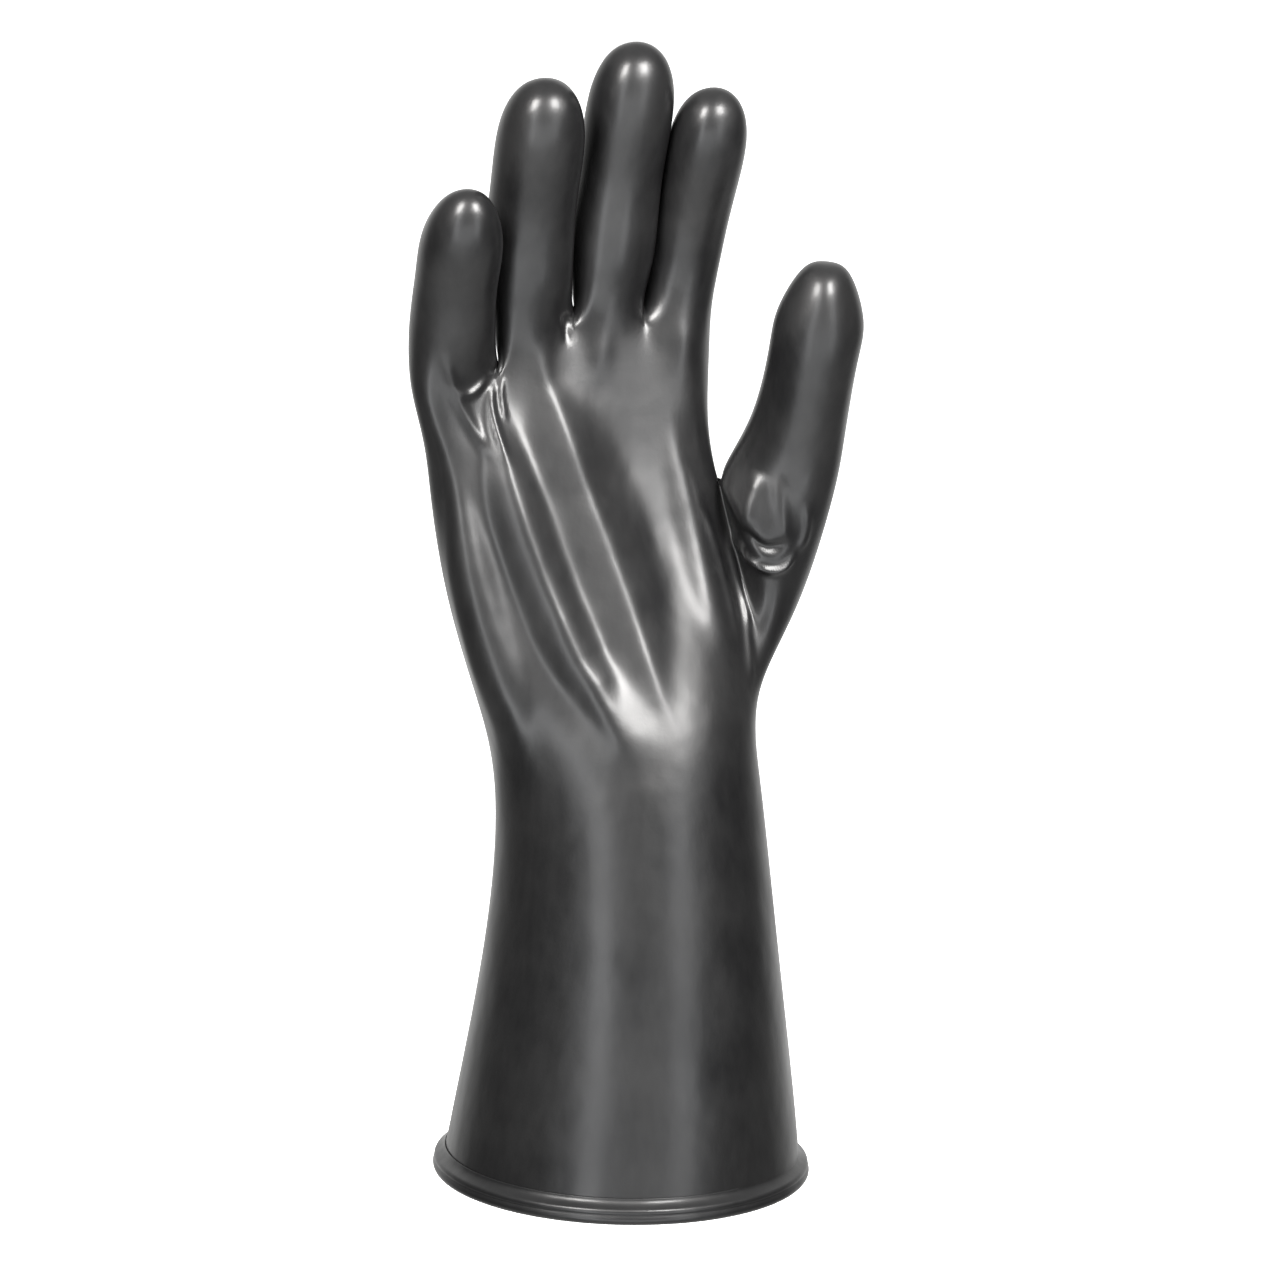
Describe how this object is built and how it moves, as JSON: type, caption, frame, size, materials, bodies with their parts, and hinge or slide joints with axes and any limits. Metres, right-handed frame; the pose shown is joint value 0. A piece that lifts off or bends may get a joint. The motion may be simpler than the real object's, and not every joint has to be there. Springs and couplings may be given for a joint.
{
  "type": "chemical-resistant glove",
  "caption": "Long dipped rubber glove for the right hand with a smooth dark skin, curled fingers, folded palm, flared round cuff and rolled bead at the mouth.",
  "frame": {"origin": "centre of the round mouth, in the plane of the bead's lower face", "axes": "+Z runs from the mouth to the fingertips, the palm faces -Y, and the thumb is on the +X side"},
  "size_m": [0.1327, 0.1142, 0.3367],
  "materials": {
    "rubber_skin": "smooth satin, dark grey to black",
    "rubber_bead": "smooth satin, dark grey to black"
  },
  "bodies": {
    "root": {"glove_skin": "rubber_skin", "rolled_bead": "rubber_bead"}
  },
  "joints": []
}
